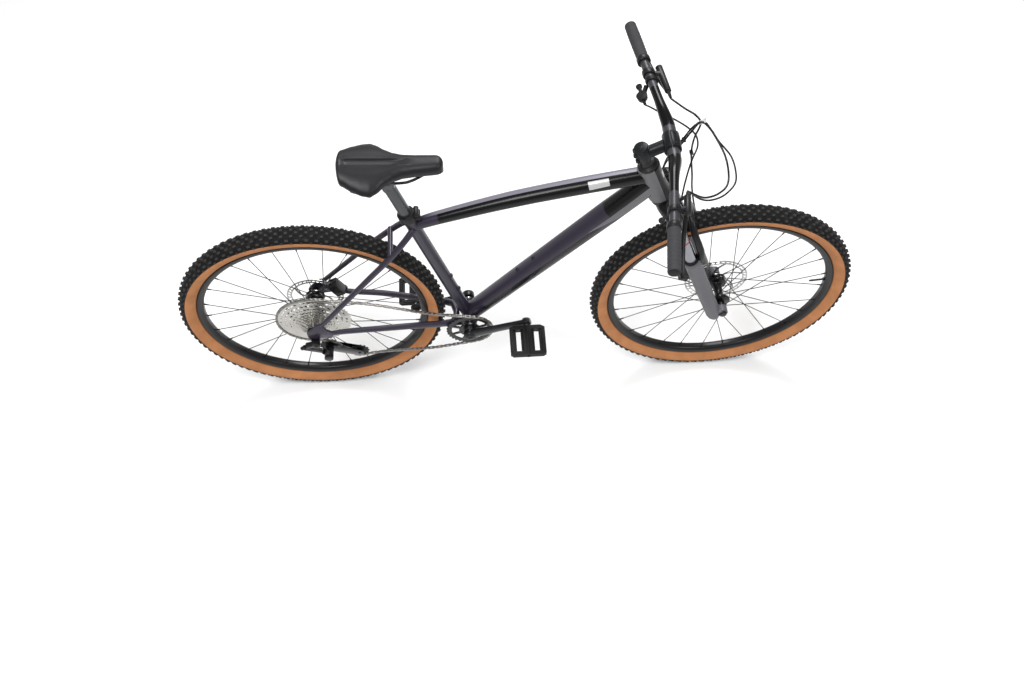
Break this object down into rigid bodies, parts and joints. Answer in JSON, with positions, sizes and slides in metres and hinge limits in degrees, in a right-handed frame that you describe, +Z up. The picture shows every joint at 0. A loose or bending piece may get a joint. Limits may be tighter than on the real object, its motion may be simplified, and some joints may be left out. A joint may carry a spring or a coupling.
{
  "type": "mountain bike",
  "caption": "Hardtail mountain bike with front suspension fork, disc brakes, single chainring, wide cassette and tan-sidewall knobbly tyres.",
  "frame": {"origin": "on the ground, midway between the two axles, in the bike's centre plane", "axes": "+X forward, +Y to the rider's left (the chain side faces -Y), +Z up"},
  "size_m": [1.884, 0.76, 1.029],
  "materials": {
    "frame_paint": "satin",
    "fork_paint": "matte",
    "satin_black": "satin",
    "anodised": "satin",
    "polished": "polished",
    "brushed_steel": "brushed",
    "grip_rubber": "matte",
    "tyre_rubber": "matte, with tan sidewalls",
    "black_plastic": "moulded",
    "saddle_skin": "smooth synthetic",
    "hose": "smooth"
  },
  "bodies": {
    "frame": {"head_tube": "frame_paint", "top_tube": "frame_paint", "down_tube": "frame_paint", "seat_tube": "frame_paint", "chainstays": "frame_paint", "seatstays": "frame_paint", "seat_clamp": "satin_black", "rear_axle": "anodised", "rear_caliper": "satin_black", "chain": "brushed_steel", "derailleur_hanger": "satin_black"},
    "seatpost": {"seatpost": "anodised", "saddle_rails": "satin_black", "saddle_shell": "black_plastic", "saddle_cover": "saddle_skin"},
    "steering": {"fork_crown": "satin_black", "right_stanchion": "polished", "left_stanchion": "polished", "headset_spacers": "satin_black", "stem": "anodised", "stem_faceplate": "anodised", "handlebar": "anodised", "right_grip": "grip_rubber", "right_brake_master": "satin_black", "left_grip": "grip_rubber", "left_brake_master": "satin_black", "shifter": "black_plastic", "lockout_remote": "black_plastic", "rear_brake_hose": "hose", "gear_cable": "hose", "front_brake_hose": "hose", "lockout_cable": "hose"},
    "fork_lowers": {"fork_lowers": "fork_paint", "front_axle": "anodised", "front_caliper": "satin_black"},
    "front_wheel": {"front_tyre": "tyre_rubber", "front_rim": "satin_black", "front_hub": "anodised", "front_rotor": "polished"},
    "rear_wheel": {"rear_tyre": "tyre_rubber", "rear_rim": "satin_black", "rear_hub": "anodised", "rear_rotor": "polished"},
    "cassette": {"cassette": "brushed_steel"},
    "crankset": {"right_crank": "satin_black", "left_crank": "satin_black", "chainring": "satin_black"},
    "right_pedal": {"right_pedal": "black_plastic"},
    "left_pedal": {"left_pedal": "black_plastic"},
    "derailleur_link": {"derailleur_link": "anodised"},
    "derailleur_knuckle": {"derailleur_knuckle": "anodised"},
    "derailleur_cage": {"derailleur_cage": "satin_black"},
    "guide_pulley": {"guide_pulley": "black_plastic"},
    "tension_pulley": {"tension_pulley": "black_plastic"},
    "right_brake_lever": {"right_brake_lever": "anodised"},
    "left_brake_lever": {"left_brake_lever": "anodised"},
    "shift_lever": {"shift_lever": "black_plastic"},
    "release_lever": {"release_lever": "black_plastic"},
    "lockout_lever": {"lockout_lever": "black_plastic"},
    "lockout_dial": {"lockout_dial": "anodised"}
  },
  "joints": [
    {"name": "seatpost_height", "type": "slide", "parent": "frame", "child": "seatpost", "axis": [-0.2857, 0, 0.9583], "range_m": [-0.09, 0.06]},
    {"name": "steering_turn", "type": "hinge", "parent": "frame", "child": "steering", "pos_m": [0.32743, 0, 0.86845], "axis": [-0.3665, 0, 0.9304], "range_deg": [-70, 70], "deforming": ["rear_brake_hose", "gear_cable"]},
    {"name": "fork_travel", "type": "slide", "parent": "steering", "child": "fork_lowers", "axis": [-0.3665, 0, 0.9304], "range_m": [0, 0.08], "stiffness_N_per_m": 6000, "deforming": ["front_brake_hose"]},
    {"name": "front_wheel_spin", "type": "hinge", "parent": "fork_lowers", "child": "front_wheel", "pos_m": [0.574, 0, 0.368], "axis": [0, 1, 0], "continuous": true},
    {"name": "rear_wheel_spin", "type": "hinge", "parent": "frame", "child": "rear_wheel", "pos_m": [-0.574, 0, 0.368], "axis": [0, 1, 0], "continuous": true},
    {"name": "crank_spin", "type": "hinge", "parent": "frame", "child": "crankset", "pos_m": [-0.14, 0, 0.309], "axis": [0, 1, 0], "continuous": true},
    {"name": "cassette_spin", "type": "hinge", "parent": "frame", "child": "cassette", "pos_m": [-0.574, 0, 0.368], "axis": [0, 1, 0], "continuous": true},
    {"name": "right_pedal_spin", "type": "hinge", "parent": "crankset", "child": "right_pedal", "pos_m": [0.01843, -0.14, 0.37723], "axis": [0, 1, 0], "continuous": true},
    {"name": "left_pedal_spin", "type": "hinge", "parent": "crankset", "child": "left_pedal", "pos_m": [-0.29843, 0.14, 0.24077], "axis": [0, 1, 0], "continuous": true},
    {"name": "derailleur_swing", "type": "hinge", "parent": "frame", "child": "derailleur_link", "pos_m": [-0.61, -0.088, 0.318], "axis": [0.7682, 0, 0.6402], "range_deg": [-28, 0], "deforming": ["chain"]},
    {"name": "derailleur_knuckle_turn", "type": "hinge", "parent": "derailleur_link", "child": "derailleur_knuckle", "pos_m": [-0.56, -0.066, 0.258], "axis": [0.7682, 0, 0.6402], "range_deg": [0, 28], "deforming": ["chain"]},
    {"name": "derailleur_cage_swing", "type": "hinge", "parent": "derailleur_knuckle", "child": "derailleur_cage", "pos_m": [-0.552, -0.031, 0.232], "axis": [0, 1, 0], "range_deg": [-10, 60], "stiffness_Nm_per_rad": 1, "deforming": ["chain"]},
    {"name": "guide_pulley_spin", "type": "hinge", "parent": "derailleur_cage", "child": "guide_pulley", "pos_m": [-0.552, -0.031, 0.232], "axis": [0, 1, 0], "continuous": true},
    {"name": "tension_pulley_spin", "type": "hinge", "parent": "derailleur_cage", "child": "tension_pulley", "pos_m": [-0.468, -0.031, 0.196], "axis": [0, 1, 0], "continuous": true},
    {"name": "right_brake_pull", "type": "hinge", "parent": "steering", "child": "right_brake_lever", "pos_m": [0.3644, -0.172, 0.99915], "axis": [-0.9304, 0, -0.3665], "range_deg": [0, 7], "stiffness_Nm_per_rad": 2},
    {"name": "left_brake_pull", "type": "hinge", "parent": "steering", "child": "left_brake_lever", "pos_m": [0.3644, 0.172, 0.99915], "axis": [0.9304, 0, 0.3665], "range_deg": [0, 7], "stiffness_Nm_per_rad": 2},
    {"name": "shift_lever_push", "type": "hinge", "parent": "steering", "child": "shift_lever", "pos_m": [0.33501, -0.17, 0.96807], "axis": [0.3665, 0, -0.9304], "range_deg": [0, 30], "stiffness_Nm_per_rad": 0.6},
    {"name": "release_lever_pull", "type": "hinge", "parent": "steering", "child": "release_lever", "pos_m": [0.33501, -0.17, 0.96807], "axis": [0.3665, 0, -0.9304], "range_deg": [0, 15], "stiffness_Nm_per_rad": 0.6},
    {"name": "lockout_lever_push", "type": "hinge", "parent": "steering", "child": "lockout_lever", "pos_m": [0.30913, 0.162, 0.9766], "axis": [0.3665, 0, -0.9304], "range_deg": [0, 25]},
    {"name": "lockout_dial_turn", "type": "hinge", "parent": "steering", "child": "lockout_dial", "pos_m": [0.36839, -0.065, 0.81903], "axis": [0.3665, 0, -0.9304], "range_deg": [0, 80]}
  ],
  "couplings": [
    {"joint": "cassette_spin", "follows": "crank_spin", "ratio": 0.62745},
    {"joint": "guide_pulley_spin", "follows": "crank_spin", "ratio": -2.4615},
    {"joint": "tension_pulley_spin", "follows": "crank_spin", "ratio": 2.4615},
    {"joint": "derailleur_knuckle_turn", "follows": "derailleur_swing", "ratio": -1},
    {"joint": "lockout_dial_turn", "follows": "lockout_lever_push", "ratio": 3.2}
  ]
}
